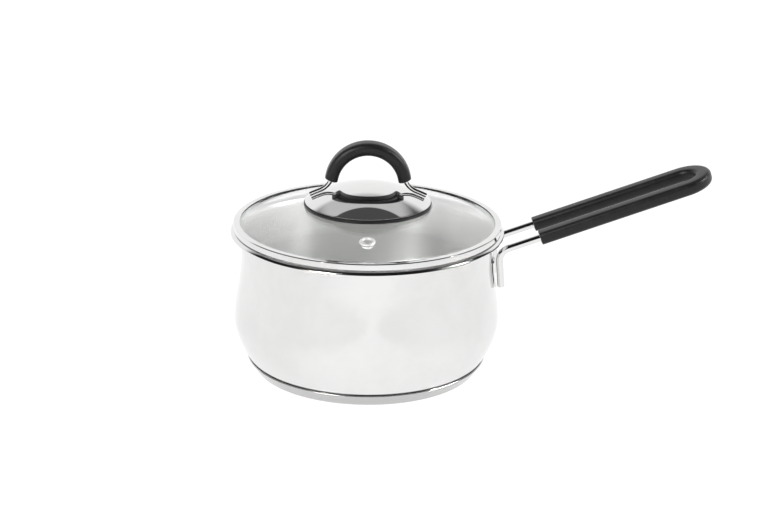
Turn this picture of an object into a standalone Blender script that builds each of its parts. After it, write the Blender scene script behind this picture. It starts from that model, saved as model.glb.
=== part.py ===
"""Saucepan with a glass lid: a bellied steel pan, its wire handle, and a lift-off domed lid.

The origin is the centre of the pan's underside, +Z is up and the long handle points along +X.
Lengths are in metres and angles in degrees.
"""
import math

import bmesh
import bpy
from mathutils import Matrix, Vector

# Pan shell
SHELL = 0.0008              # wall thickness of the drawn steel
BELLY_BULGE = 0.00455       # widest ring of the wall beyond the neck
BELLY_HEIGHT = 0.0325       # height of the widest ring
NECK_RADIUS = 0.07945       # outside radius of the neck
NECK_HEIGHT = 0.0740        # height where the shoulder meets the neck
NECK_LENGTH = 0.0115        # straight neck between shoulder and rim
HEEL_DROP = 0.0090          # how far the wall draws in from belly to heel
HEEL_HEIGHT = 0.0078        # height where the wall turns into the bottom
HEEL_FULLNESS = 1.7         # 2 is a parabola, lower is straighter
HEEL_FILLET = 0.0040        # outside fillet between wall and bottom
RIM_FLARE = 0.0048          # outside radius of the flare under the rim
RIM_FLARE_ANGLE = 78.0      # how far the flare turns outward
RIM_CURL = 0.0018           # underside radius of the curled edge
RIM_CURL_ANGLE = 72.0       # how far the edge curls back down

# Base
CORE_THICKNESS = 0.0046     # aluminium disc
CORE_INSET = 0.0010         # core edge behind the inside of the cap's foot
CAP_THICKNESS = 0.0007      # steel capsule
FOOT_INSET = 0.0036         # edge of the face that the pan stands on, inside the heel
FOOT_FILLET = 0.0010        # outside fillet around that face
SEAM_DROP = 0.0003          # top of the cap below the heel

# Long handle
WIRE_RADIUS = 0.0023        # handle wire
ARM_SPACING = 0.0270        # centre to centre between the two arms
ARM_RISE = 18.8             # slope of the arms
ARM_BEND = 0.0080           # centreline radius between leg and arm
ELBOW_DROP = 0.01283        # crossing of leg and arm lines below the top of the rim
LEG_LENGTH = 0.0234         # from that crossing to the lower end of the legs
ARM_LENGTH = 0.13095        # from that crossing out to the wire centre at the loop's far end
BARE_LENGTH = 0.02585       # from that crossing out to where the sleeve begins
GRIP_WIDTH = 0.0100         # sleeve section across the slot
GRIP_HEIGHT = 0.0082        # sleeve section square to the handle's plane
GRIP_CORNER = 0.0030        # corner radius of the section
GRIP_EDGE = 0.0006          # chamfer around the sleeve's ends

# Handle bracket
BRACKET_THICKNESS = 0.0008
BRACKET_MARGIN = 0.0040     # plate beyond the centre of each leg
BRACKET_DROP = 0.0002       # lower edge below the legs' ends
BRACKET_HEIGHT = 0.0200
BRACKET_CORNER = 0.0040     # corner radius of the plate

# Lid
LID_TURN = -4.6             # the loose lid's turn on the pan, from the long handle's line
BAND_OVERHANG = 0.00057     # rim band beyond the crest of the pan's rim
BAND_HEIGHT = 0.0044
BAND_SHEET = 0.0003
BAND_FILLET = 0.0008        # outside fillet of the band's edges
BAND_TOP_LEDGE = 0.0040     # width of the flange over the glass
BAND_LOWER_LEDGE = 0.0032   # width of the flange under the glass
GLASS_EDGE = 0.0050         # width of the glass's flat edge
DOME_RISE = 0.0139          # from the flat edge to the top of the glass
VENT_PLACE = 0.0600         # vent's distance from the lid's axis
VENT_BORE = 0.0026          # radius of the steam hole
VENT_TUBE = 0.0004          # wall of the eyelet
VENT_FLANGE = 0.0049        # radius of the eyelet's top flange
VENT_BEAD = 0.0012          # height of that flange
VENT_FLARE = 0.0008         # how far the eyelet's lower end is flared out

# Cover plate in the middle of the lid, and what clamps it
ROSETTE_RADIUS = 0.0396
ROSETTE_RISE = 0.0105       # from its edge to its top
ROSETTE_SHEET = 0.0007
GASKET_OVERHANG = 0.0005    # gasket beyond the edge of the plate
GASKET_WIDTH = 0.0045
GASKET_HEIGHT = 0.0018      # at its outer edge
SCREW_RADIUS = 0.0020
SCREW_HEAD_RADIUS = 0.0045
SCREW_HEAD_HEIGHT = 0.0024
SCREW_CROWN = 0.6           # flat crown of the head, as a share of its radius
SCREW_ENGAGEMENT = 0.0060   # screw inside the boss
NUT_RADIUS = 0.0040
WASHER_RADIUS = 0.0070
WASHER_THICKNESS = 0.0010
SEAL_RADIUS = 0.0080
SEAL_THICKNESS = 0.0012
SEAL_WALL = 0.0010          # wall of the collar that stands in the glass

# Lid handle
ARCH_WIRE = 0.0015          # radius of the arch's wire
ARCH_RADIUS = 0.0230        # centreline radius of the arch
ARCH_LIFT = 0.0006          # centre of the arch above the top of the cover plate
FOOT_FLARE = 0.0124         # radius that turns each leg outward
ARCH_FOOT_INSET = 0.0031    # wire ends inside the edge of the cover plate
SLEEVE_TAIL = 9.0           # how far the sleeve follows the outward turn
SLEEVE_DEPTH = 0.0130       # sleeve section square to the arch
SLEEVE_THICKNESS = 0.0082   # sleeve section in the plane of the arch
SLEEVE_CORNER = 0.0036
SLEEVE_EDGE = 0.0008        # chamfer around the sleeve's ends

# Clearances
FIT = 0.0003                # between pieces that touch
EDGE_FIT = 0.00025          # glass inside its band
HOLE_FIT = 0.0003           # around what passes through a hole
WELD = 1e-7                 # vertices closer than this are one

# Facets
LARGE_SIDES = 48            # pan, base and lid
MEDIUM_SIDES = 36           # cover plate and gasket
SMALL_SIDES = 16            # screw, washers and eyelet
WIRE_SIDES = 8
CORNER_STEPS = 2            # facets in each corner of a sleeve's section


def finish_material(name, colour, roughness, metallic, transmission=0.0):
    """One Principled material."""
    material = bpy.data.materials.new(name)
    material.use_nodes = True
    shader = material.node_tree.nodes["Principled BSDF"]
    shader.inputs["Base Color"].default_value = (*colour, 1.0)
    shader.inputs["Roughness"].default_value = roughness
    shader.inputs["Metallic"].default_value = metallic
    shader.inputs["Transmission Weight"].default_value = transmission
    return material


def add_object(name, mesh, material, place=None):
    """Turn a bmesh into a smooth-shaded object, moved by its place matrix."""
    bmesh.ops.remove_doubles(mesh, verts=mesh.verts, dist=WELD)
    bmesh.ops.recalc_face_normals(mesh, faces=mesh.faces)
    data = bpy.data.meshes.new(name)
    mesh.to_mesh(data)
    mesh.free()
    data.shade_smooth()
    data.set_sharp_from_angle(angle=math.radians(35))
    data.materials.append(material)
    item = bpy.data.objects.new(name, data)
    bpy.context.collection.objects.link(item)
    if place is not None:
        item.matrix_world = place
    return item


def arc(centre, radius, start, end, steps):
    """Points on an arc in the (radius, height) plane, with angles in degrees."""
    turns = [math.radians(start + (end - start) * i / steps) for i in range(steps + 1)]
    return [(centre[0] + radius * math.cos(t), centre[1] + radius * math.sin(t)) for t in turns]


def offset_path(path, distance):
    """The path moved to its left by a distance; on the axis it moves straight up or down."""
    moved = []
    for i, (r, z) in enumerate(path):
        before = path[max(i - 1, 0)]
        after = path[min(i + 1, len(path) - 1)]
        run = Vector((after[0] - before[0], after[1] - before[1])).normalized()
        moved.append((max(r - run.y * distance, 0.0), z + run.x * distance))
    return moved


def sheet_outline(path, thickness):
    """Closed outline of a sheet whose one face is the path and whose other face is to its left."""
    return path + offset_path(path, thickness)[::-1]


def turned(name, outline, material, sides, place=None):
    """Spin an outline of (radius, height) points about the vertical axis.

    An outline that starts and ends on the axis stays open there, any other one is closed.
    """
    mesh = bmesh.new()
    verts = [mesh.verts.new((r, 0.0, z)) for r, z in outline]
    edges = [mesh.edges.new(pair) for pair in zip(verts, verts[1:])]
    if outline[0][0] > 0.0 or outline[-1][0] > 0.0:
        edges.append(mesh.edges.new((verts[-1], verts[0])))
    bmesh.ops.spin(mesh, geom=verts + edges, cent=(0, 0, 0), axis=(0, 0, 1),
                   angle=math.tau, steps=sides, use_merge=True)
    return add_object(name, mesh, material, place)


def cut(item, cutter, operation="DIFFERENCE"):
    """Cut an object with a hidden cutter."""
    cutter.hide_render = True
    cutter.display_type = "WIRE"
    boolean = item.modifiers.new(operation.title(), "BOOLEAN")
    boolean.operation = operation
    boolean.solver = "EXACT"
    boolean.object = cutter


def fillet(before, corner, after, radius, steps):
    """Points of the arc that rounds one corner of a 3-D path."""
    back = (before - corner).normalized()
    ahead = (after - corner).normalized()
    half = back.angle(ahead) / 2
    reach = radius / math.tan(half)
    centre = corner + (back + ahead).normalized() * (radius / math.sin(half))
    start = corner + back * reach - centre
    axis = start.cross(corner + ahead * reach - centre).normalized()
    sweep = math.pi - 2 * half
    return [centre + Matrix.Rotation(sweep * i / steps, 3, axis) @ start for i in range(steps + 1)]


def rounded_path(corners, radii, steps):
    """A path through corner points, each inner corner rounded by its own radius."""
    path = [corners[0]]
    for i, (radius, count) in enumerate(zip(radii, steps), start=1):
        path += fillet(corners[i - 1], corners[i], corners[i + 1], radius, count)
    return path + [corners[-1]]


def without_repeats(path):
    """The path with points that coincide taken once."""
    kept = [path[0]]
    for point in path[1:]:
        if (point - kept[-1]).length > FIT:
            kept.append(point)
    return kept


def directions(path):
    """The direction of travel at each point of a path."""
    ends = [(path[max(i - 1, 0)], path[min(i + 1, len(path) - 1)]) for i in range(len(path))]
    return [(after - before).normalized() for before, after in ends]


def sweep_rings(mesh, path, up, sections):
    """Rings of vertices along a path, from sections of (across, up) points."""
    rings = []
    for point, ahead, section in zip(path, directions(path), sections):
        side = ahead.cross(up).normalized()
        top = side.cross(ahead)
        rings.append([mesh.verts.new(point + side * a + top * b) for a, b in section])
    return rings


def skin(mesh, ring, other):
    """Quads between two rings of vertices."""
    count = len(ring)
    for i in range(count):
        j = (i + 1) % count
        mesh.faces.new((ring[i], ring[j], other[j], other[i]))


def circle_section(radius, sides):
    """A round section."""
    turns = [math.tau * (i + 0.5) / sides for i in range(sides)]
    return [(radius * math.cos(t), radius * math.sin(t)) for t in turns]


def rounded_section(width, height, corner, inset=0.0):
    """A rounded rectangle, made smaller all round by an inset."""
    rounding = max(corner - inset, corner / 2)
    across = width / 2 - inset - rounding
    up = height / 2 - inset - rounding
    points = []
    for sign_a, sign_b, start in ((1, 1, 0), (-1, 1, 90), (-1, -1, 180), (1, -1, 270)):
        centre = (sign_a * across, sign_b * up)
        points += arc(centre, rounding, start, start + 90, CORNER_STEPS)
    return points


def rod(name, path, radius, up, material, place=None):
    """A round wire along a path."""
    mesh = bmesh.new()
    rings = sweep_rings(mesh, path, up, [circle_section(radius, WIRE_SIDES)] * len(path))
    for ring, other in zip(rings, rings[1:]):
        skin(mesh, ring, other)
    mesh.faces.new(rings[0])
    mesh.faces.new(rings[-1])
    return add_object(name, mesh, material, place)


def sleeve(name, path, up, size, edge, bore, material, place=None):
    """A soft sleeve around a wire: a rounded section outside, a round bore inside."""
    width, height, corner = size
    ahead = directions(path)
    spine = [path[0], path[0] + ahead[0] * edge] + path[1:-1] + [path[-1] - ahead[-1] * edge, path[-1]]
    full = rounded_section(width, height, corner)
    small = rounded_section(width, height, corner, edge)
    mesh = bmesh.new()
    outer = sweep_rings(mesh, spine, up, [small] + [full] * (len(spine) - 2) + [small])
    inner = sweep_rings(mesh, spine, up, [bore_section(full, bore)] * len(spine))
    for rings in (outer, inner):
        for ring, other in zip(rings, rings[1:]):
            skin(mesh, ring, other)
    skin(mesh, outer[0], inner[0])
    skin(mesh, outer[-1], inner[-1])
    return add_object(name, mesh, material, place)


def bore_section(outer, radius):
    """A round bore with a point facing each point of the outer section."""
    turns = [math.tau * (i + 0.5) / len(outer) for i in range(len(outer))]
    return [(radius * math.cos(t), radius * math.sin(t)) for t in turns]


def belly_radius():
    """Widest outside radius of the wall."""
    return NECK_RADIUS + BELLY_BULGE


def wall_radius(height):
    """Outside radius of the pan's wall between heel and neck."""
    if height < BELLY_HEIGHT:
        share = (BELLY_HEIGHT - height) / (BELLY_HEIGHT - HEEL_HEIGHT)
        return belly_radius() - HEEL_DROP * share ** HEEL_FULLNESS
    share = min((height - BELLY_HEIGHT) / (NECK_HEIGHT - BELLY_HEIGHT), 1.0)
    return NECK_RADIUS + BELLY_BULGE * (1 + math.cos(math.pi * share)) / 2


def heel_slope():
    """Angle of the wall to the ground at the heel."""
    lean = HEEL_DROP * HEEL_FULLNESS / (BELLY_HEIGHT - HEEL_HEIGHT)
    return math.degrees(math.atan2(1.0, lean))


def bottom_height():
    """Height of the shell's underside."""
    return HEEL_HEIGHT - HEEL_FILLET * (1 - math.cos(math.radians(heel_slope())))


def rim_start():
    """Height where the neck begins to flare."""
    return NECK_HEIGHT + NECK_LENGTH


def rim_crest():
    """Highest point of the rim, as (radius, height)."""
    flare = math.radians(RIM_FLARE_ANGLE)
    rest = math.radians(90 - RIM_FLARE_ANGLE)
    radius = NECK_RADIUS + RIM_FLARE * (1 - math.cos(flare)) + RIM_CURL * math.sin(rest)
    height = rim_start() + RIM_FLARE * math.sin(flare) + RIM_CURL * (1 - math.cos(rest))
    return radius, height + SHELL


def shell_path():
    """Outside of the pan's shell, from the axis under the bottom to the curled edge."""
    slope = heel_slope()
    heel_centre = (wall_radius(HEEL_HEIGHT) - HEEL_FILLET * math.sin(math.radians(slope)),
                   bottom_height() + HEEL_FILLET)
    path = [(0.0, bottom_height()), (heel_centre[0] / 2, bottom_height())]
    path += arc(heel_centre, HEEL_FILLET, -90, slope - 90, 3)
    lower_rows = 5
    upper_rows = 6
    for i in range(1, lower_rows + 1):
        height = HEEL_HEIGHT + (BELLY_HEIGHT - HEEL_HEIGHT) * i / lower_rows
        path.append((wall_radius(height), height))
    for i in range(1, upper_rows + 1):
        height = BELLY_HEIGHT + (NECK_HEIGHT - BELLY_HEIGHT) * i / upper_rows
        path.append((wall_radius(height), height))
    flare_centre = (NECK_RADIUS + RIM_FLARE, rim_start())
    path += arc(flare_centre, RIM_FLARE, 180, 180 - RIM_FLARE_ANGLE, 3)
    crest_radius, crest_height = rim_crest()
    curl_centre = (crest_radius, crest_height - SHELL - RIM_CURL)
    path += arc(curl_centre, RIM_CURL, 180 - RIM_FLARE_ANGLE, 90 - RIM_CURL_ANGLE, 4)[1:]
    return path


def foot_radius():
    """Outside radius of the face that the pan stands on."""
    return wall_radius(HEEL_HEIGHT) - FOOT_INSET


def make_pan(steel, aluminium):
    """The shell, the core under it and the cap around the core."""
    turned("pot_body", sheet_outline(shell_path(), SHELL), steel, LARGE_SIDES)

    core_top = bottom_height() - FIT
    core_radius = foot_radius() - CAP_THICKNESS - CORE_INSET
    core = [(0.0, core_top - CORE_THICKNESS), (core_radius, core_top - CORE_THICKNESS),
            (core_radius, core_top), (0.0, core_top)]
    turned("base_core", core, aluminium, LARGE_SIDES)

    seam_height = HEEL_HEIGHT - SEAM_DROP
    seam_radius = wall_radius(HEEL_HEIGHT) + FIT + CAP_THICKNESS
    lean = math.degrees(math.atan2(seam_height, seam_radius - foot_radius()))
    path = [(0.0, 0.0), (foot_radius() / 2, 0.0)]
    path += arc((foot_radius() - FOOT_FILLET, FOOT_FILLET), FOOT_FILLET, -90, lean - 90, 2)
    path.append((seam_radius, seam_height))
    turned("base_cap", sheet_outline(path, CAP_THICKNESS), steel, LARGE_SIDES)


def elbow_height():
    """Height where leg and arm lines cross."""
    return rim_crest()[1] - ELBOW_DROP


def leg_foot_height():
    """Height of the lower end of the legs."""
    return elbow_height() - LEG_LENGTH


def leg_place(height):
    """Distance of a leg's centre from the pan's axis, at a height."""
    return wall_radius(height) + FIT + BRACKET_THICKNESS + FIT + WIRE_RADIUS


def arm_height(reach):
    """Height of the arms' centre line at a distance along the handle."""
    return elbow_height() + (reach - elbow_reach()) * math.tan(math.radians(ARM_RISE))


def elbow_reach():
    """Distance along the handle where leg and arm lines cross."""
    return math.sqrt(leg_place(elbow_height()) ** 2 - (ARM_SPACING / 2) ** 2)


def handle_reach():
    """Wire centre at the loop's far end, from the pan's axis."""
    return elbow_reach() + ARM_LENGTH


def handle_path():
    """Centre line of the handle's wire, from one leg's foot to the other's."""
    half = ARM_SPACING / 2
    foot_reach = math.sqrt(leg_place(leg_foot_height()) ** 2 - half ** 2)
    foot = (foot_reach, leg_foot_height())
    elbow = (elbow_reach(), elbow_height())
    tip = (handle_reach(), arm_height(handle_reach()))
    corners = [Vector((x, -half, z)) for x, z in (foot, elbow, tip)]
    corners += [Vector((x, half, z)) for x, z in (tip, elbow, foot)]
    loop = half - WELD
    return without_repeats(rounded_path(corners, (ARM_BEND, loop, loop, ARM_BEND), (5, 7, 7, 5)))


def handle_up():
    """Square to the plane that the arms and the loop lie in."""
    slope = math.radians(ARM_RISE)
    return Vector((-math.sin(slope), 0.0, math.cos(slope)))


def bent_wire_rings(mesh, path, radius, first_side):
    """Round rings along a path that leaves its plane, each turned as little as possible."""
    ahead = directions(path)
    side = first_side
    rings = []
    for i, point in enumerate(path):
        if i:
            side = ahead[i - 1].rotation_difference(ahead[i]) @ side
        top = side.cross(ahead[i])
        rings.append([mesh.verts.new(point + side * a + top * b)
                      for a, b in circle_section(radius, WIRE_SIDES)])
    return rings


def make_handle(steel, silicone):
    """The wire loop, the sleeve on it and the plate that its legs are welded to."""
    mesh = bmesh.new()
    rings = bent_wire_rings(mesh, handle_path(), WIRE_RADIUS, Vector((0.0, 1.0, 0.0)))
    for ring, other in zip(rings, rings[1:]):
        skin(mesh, ring, other)
    mesh.faces.new(rings[0])
    mesh.faces.new(rings[-1])
    add_object("handle_rod", mesh, steel)

    half = ARM_SPACING / 2
    sleeve_start = elbow_reach() + BARE_LENGTH
    start = (sleeve_start, arm_height(sleeve_start))
    tip = (handle_reach(), arm_height(handle_reach()))
    corners = [Vector((x, -half, z)) for x, z in (start, tip)]
    corners += [Vector((x, half, z)) for x, z in (tip, start)]
    loop = half - WELD
    path = without_repeats(rounded_path(corners, (loop, loop), (7, 7)))
    sleeve("handle_grip", path, handle_up(), (GRIP_WIDTH, GRIP_HEIGHT, GRIP_CORNER), GRIP_EDGE,
           WIRE_RADIUS + HOLE_FIT, silicone)
    make_bracket(steel)


def make_bracket(steel):
    """A plate that follows the pan's wall, trimmed to a rounded rectangle."""
    foot = leg_foot_height() - BRACKET_DROP
    top = foot + BRACKET_HEIGHT
    rows = 5
    heights = [foot + (top - foot) * i / (rows - 1) for i in range(rows)]
    path = [(wall_radius(z) + FIT + BRACKET_THICKNESS, z) for z in heights]
    outline = sheet_outline(path, BRACKET_THICKNESS)
    half_width = ARM_SPACING / 2 + BRACKET_MARGIN
    spread = math.asin((half_width + BRACKET_MARGIN) / NECK_RADIUS)
    mesh = bmesh.new()
    verts = [mesh.verts.new((r * math.cos(spread), -r * math.sin(spread), z)) for r, z in outline]
    face = mesh.faces.new(verts)
    bmesh.ops.spin(mesh, geom=[face], cent=(0, 0, 0), axis=(0, 0, 1), angle=2 * spread, steps=8)
    plate = add_object("handle_bracket", mesh, steel)

    trim = bmesh.new()
    middle = (foot + top) / 2
    section = rounded_section(2 * half_width, BRACKET_HEIGHT - 2 * WELD, BRACKET_CORNER)
    near = [trim.verts.new((NECK_RADIUS / 2, a, middle + b)) for a, b in section]
    far = [trim.verts.new((NECK_RADIUS * 2, a, middle + b)) for a, b in section]
    skin(trim, near, far)
    trim.faces.new(near)
    trim.faces.new(far)
    cut(plate, add_object("bracket_trim", trim, steel), "INTERSECT")


def band_radius():
    """Outside radius of the lid's band."""
    return rim_crest()[0] + BAND_OVERHANG


def band_foot():
    """Height of the lid band's underside, resting on the crest of the rim."""
    return rim_crest()[1] + FIT


def band_top():
    """Height of the lid band's upper face."""
    return band_foot() + BAND_HEIGHT


def glass_edge_radius():
    """Outside radius of the glass."""
    return band_radius() - BAND_SHEET - EDGE_FIT


def glass_edge_top():
    """Height of the glass's flat edge, under the band's top flange."""
    return band_top() - BAND_SHEET - EDGE_FIT


def glass_thickness():
    """What the band leaves for the glass."""
    return BAND_HEIGHT - 2 * (BAND_SHEET + EDGE_FIT)


def dome_span():
    """Radius where the dome leaves the flat edge."""
    return glass_edge_radius() - GLASS_EDGE


def dome_radius():
    """Radius of the glass dome's upper sphere."""
    return (dome_span() ** 2 + DOME_RISE ** 2) / (2 * DOME_RISE)


def dome_height(radius):
    """Height of the glass's upper face at a distance from the axis."""
    ball = dome_radius()
    return glass_edge_top() + DOME_RISE - ball + math.sqrt(ball ** 2 - radius ** 2)


def glass_path():
    """Upper face of the glass, from the axis to the edge."""
    rows = 7
    path = [(dome_span() * i / rows, dome_height(dome_span() * i / rows)) for i in range(rows + 1)]
    return path + [(glass_edge_radius(), glass_edge_top())]


def lid_place():
    """The lid's turn on the pan."""
    return Matrix.Rotation(math.radians(LID_TURN), 4, "Z")


def vent_place():
    """The vent's frame on the glass: upper face at its origin, +Z square to the glass."""
    slope = math.asin(VENT_PLACE / dome_radius())
    spot = Matrix.Translation((0.0, -VENT_PLACE, dome_height(VENT_PLACE)))
    return lid_place() @ spot @ Matrix.Rotation(slope, 4, "X")


def make_glass(glass, steel):
    """The domed glass, its rim band, and the steam vent through it."""
    lid = lid_place()
    thick = glass_thickness()
    pane = turned("lid_glass", sheet_outline(glass_path(), -thick), glass, LARGE_SIDES, lid)
    tube = VENT_BORE + VENT_TUBE
    vent_hole = tube + HOLE_FIT
    screw_hole = seal_collar() + HOLE_FIT
    depth = 2 * thick
    hole = [(0.0, -depth), (vent_hole, -depth), (vent_hole, depth), (0.0, depth)]
    cut(pane, turned("vent_cutter", hole, glass, SMALL_SIDES, vent_place()))
    top = dome_height(0.0)
    hole = [(0.0, top - depth), (screw_hole, top - depth), (screw_hole, top + depth), (0.0, top + depth)]
    cut(pane, turned("screw_cutter", hole, glass, SMALL_SIDES, lid))

    inner = BAND_FILLET - BAND_SHEET
    side = band_radius() - BAND_FILLET
    path = [(band_radius() - BAND_LOWER_LEDGE, band_foot())]
    path += arc((side, band_foot() + BAND_FILLET), BAND_FILLET, -90, 0, 2)
    path += arc((side, band_top() - BAND_FILLET), BAND_FILLET, 0, 90, 2)
    path.append((band_radius() - BAND_TOP_LEDGE, band_top()))
    back = [(band_radius() - BAND_TOP_LEDGE, band_top() - BAND_SHEET)]
    back += arc((side, band_top() - BAND_FILLET), inner, 90, 0, 2)
    back += arc((side, band_foot() + BAND_FILLET), inner, 0, -90, 2)
    back.append((band_radius() - BAND_LOWER_LEDGE, band_foot() + BAND_SHEET))
    turned("lid_band", path + back, steel, LARGE_SIDES, lid)

    seat = FIT
    flare_top = -thick - FIT
    flare_foot = flare_top - VENT_TUBE
    middle = (VENT_BORE + VENT_FLANGE) / 2
    bead = [(VENT_BORE, flare_foot), (tube + VENT_FLARE, flare_foot), (tube + VENT_FLARE, flare_top),
            (tube, flare_top), (tube, seat), (VENT_FLANGE, seat)]
    bead += [(VENT_FLANGE, seat + VENT_BEAD / 2), (middle + VENT_BEAD / 2, seat + VENT_BEAD)]
    bead += [(middle - VENT_BEAD / 2, seat + VENT_BEAD), (VENT_BORE, seat + VENT_BEAD / 2)]
    turned("vent_eyelet", bead, steel, SMALL_SIDES, vent_place())


def seal_collar():
    """Outside radius of the seal's collar in the glass."""
    return SCREW_RADIUS + HOLE_FIT + SEAL_WALL


def gasket_radius():
    """Outside radius of the gasket."""
    return ROSETTE_RADIUS + GASKET_OVERHANG


def gasket_top():
    """Height of the gasket's upper face."""
    return dome_height(gasket_radius()) + FIT + GASKET_HEIGHT


def rosette_ball():
    """Radius of the cover plate's upper sphere."""
    return (ROSETTE_RADIUS ** 2 + ROSETTE_RISE ** 2) / (2 * ROSETTE_RISE)


def rosette_top():
    """Height of the top of the cover plate."""
    return gasket_top() + FIT + ROSETTE_SHEET + ROSETTE_RISE


def make_rosette(steel, silicone):
    """The cover plate on its gasket, and the screw that clamps it from below."""
    lid = lid_place()
    inside = gasket_radius() - GASKET_WIDTH
    outside = gasket_radius()
    ring = [(inside, dome_height(inside) + FIT), (outside, dome_height(outside) + FIT),
            (outside, gasket_top()), (inside, gasket_top())]
    turned("rosette_gasket", ring, silicone, MEDIUM_SIDES, lid)

    ball = rosette_ball()
    edge = math.degrees(math.asin(ROSETTE_RADIUS / ball))
    path = arc((0.0, rosette_top() - ball), ball, 90, 90 - edge, 7)
    path[0] = (0.0, rosette_top())
    turned("rosette", sheet_outline(path, -ROSETTE_SHEET), steel, MEDIUM_SIDES, lid)

    nut_top = rosette_top() - ROSETTE_SHEET - FIT
    sag = ball - math.sqrt(ball ** 2 - NUT_RADIUS ** 2)
    nut_foot = dome_height(0.0) + FIT
    thread = SCREW_RADIUS + HOLE_FIT
    screw_top = nut_foot + SCREW_ENGAGEMENT
    boss = [(0.0, screw_top + FIT), (thread, screw_top + FIT), (thread, nut_foot),
            (NUT_RADIUS, nut_foot), (NUT_RADIUS, nut_top - sag), (0.0, nut_top)]
    turned("rosette_nut", boss, steel, SMALL_SIDES, lid)

    glass_foot = dome_height(0.0) - glass_thickness()
    dish = dome_height(0.0) - dome_height(SEAL_RADIUS)
    seal_top = glass_foot - dish - FIT
    seal_foot = seal_top - SEAL_THICKNESS
    bore = SCREW_RADIUS + HOLE_FIT
    collar = seal_collar()
    seal = [(bore, seal_foot), (SEAL_RADIUS, seal_foot), (SEAL_RADIUS, seal_top),
            (collar, seal_top), (collar, nut_foot - FIT), (bore, nut_foot - FIT)]
    turned("screw_seal", seal, silicone, SMALL_SIDES, lid)

    washer_top = seal_foot - FIT
    washer_foot = washer_top - WASHER_THICKNESS
    ring = [(bore, washer_foot), (WASHER_RADIUS, washer_foot), (WASHER_RADIUS, washer_top),
            (bore, washer_top)]
    turned("screw_washer", ring, steel, SMALL_SIDES, lid)

    head_top = washer_foot - FIT
    crown = head_top - SCREW_HEAD_HEIGHT
    shoulder = head_top - SCREW_HEAD_HEIGHT / 2
    screw = [(0.0, crown), (SCREW_HEAD_RADIUS * SCREW_CROWN, crown), (SCREW_HEAD_RADIUS, shoulder),
             (SCREW_HEAD_RADIUS, head_top), (SCREW_RADIUS, head_top), (SCREW_RADIUS, screw_top),
             (0.0, screw_top)]
    turned("knob_screw", screw, steel, SMALL_SIDES, lid)


def arch_paths():
    """Centre lines in the arch's plane: the whole wire, and the stretch that the sleeve covers."""
    foot_ball = rosette_ball() + FIT + ARCH_WIRE
    ball_height = rosette_top() - rosette_ball()
    arch_height = rosette_top() + ARCH_LIFT
    rise = arch_height - ball_height
    sum_foot = foot_ball + FOOT_FLARE
    sum_arch = ARCH_RADIUS + FOOT_FLARE
    above = (sum_foot ** 2 - sum_arch ** 2 - rise ** 2) / (2 * rise)
    turn_centre = (math.sqrt(sum_arch ** 2 - above ** 2), arch_height + above)
    spring = math.degrees(math.asin(above / sum_arch))
    land = math.degrees(math.asin(turn_centre[0] / sum_foot))
    tip = math.degrees(math.asin((ROSETTE_RADIUS - ARCH_FOOT_INSET) / foot_ball))

    crown = arc((0.0, arch_height), ARCH_RADIUS, 90, spring, 8)
    tail = arc(turn_centre, FOOT_FLARE, 180 + spring, 180 + spring + SLEEVE_TAIL, 1)[1:]
    bend = arc(turn_centre, FOOT_FLARE, 180 + spring + SLEEVE_TAIL, 270 - land, 4)[1:]
    foot = arc((0.0, ball_height), foot_ball, 90 - land, 90 - tip, 2)[1:]
    return mirrored(crown + tail + bend + foot), mirrored(crown + tail)


def mirrored(half):
    """A path in the arch's plane from its right half, apex first."""
    right = [Vector((x, 0.0, z)) for x, z in half]
    left = [Vector((-x, 0.0, z)) for x, z in half[1:]]
    return left[::-1] + right


def make_lid_handle(steel, silicone):
    """The wire arch on the cover plate, and its sleeve."""
    lid = lid_place()
    wire, covered = arch_paths()
    across = Vector((0.0, 1.0, 0.0))
    rod("lid_handle_rod", wire, ARCH_WIRE, across, steel, lid)
    size = (SLEEVE_THICKNESS, SLEEVE_DEPTH, SLEEVE_CORNER)
    sleeve("lid_handle_grip", covered, across, size, SLEEVE_EDGE, ARCH_WIRE + HOLE_FIT, silicone, lid)


def main():
    """Empty the scene and build the pan and its lid."""
    for item in list(bpy.data.objects):
        bpy.data.objects.remove(item, do_unlink=True)
    steel = finish_material("polished_steel", (0.80, 0.80, 0.79), 0.12, 1.0)
    aluminium = finish_material("aluminium", (0.76, 0.77, 0.78), 0.35, 1.0)
    silicone = finish_material("black_silicone", (0.03, 0.03, 0.032), 0.55, 0.0)
    glass = finish_material("clear_glass", (0.93, 0.97, 0.95), 0.02, 0.0, 1.0)
    make_pan(steel, aluminium)
    make_handle(steel, silicone)
    make_glass(glass, steel)
    make_rosette(steel, silicone)
    make_lid_handle(steel, silicone)


main()
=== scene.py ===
"""Saucepan with a glass lid: polished pan, wire handle with a silicone sleeve, and lift-off lid.

Every size is in metres in the frame's own axes: the pan's axis is Z and its long handle points
along +X. The file is laid out as an add-on and is run as a script.
"""
import math

import bmesh
import bpy
from bpy.props import FloatProperty, FloatVectorProperty, IntProperty, PointerProperty
from mathutils import Matrix, Vector


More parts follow.
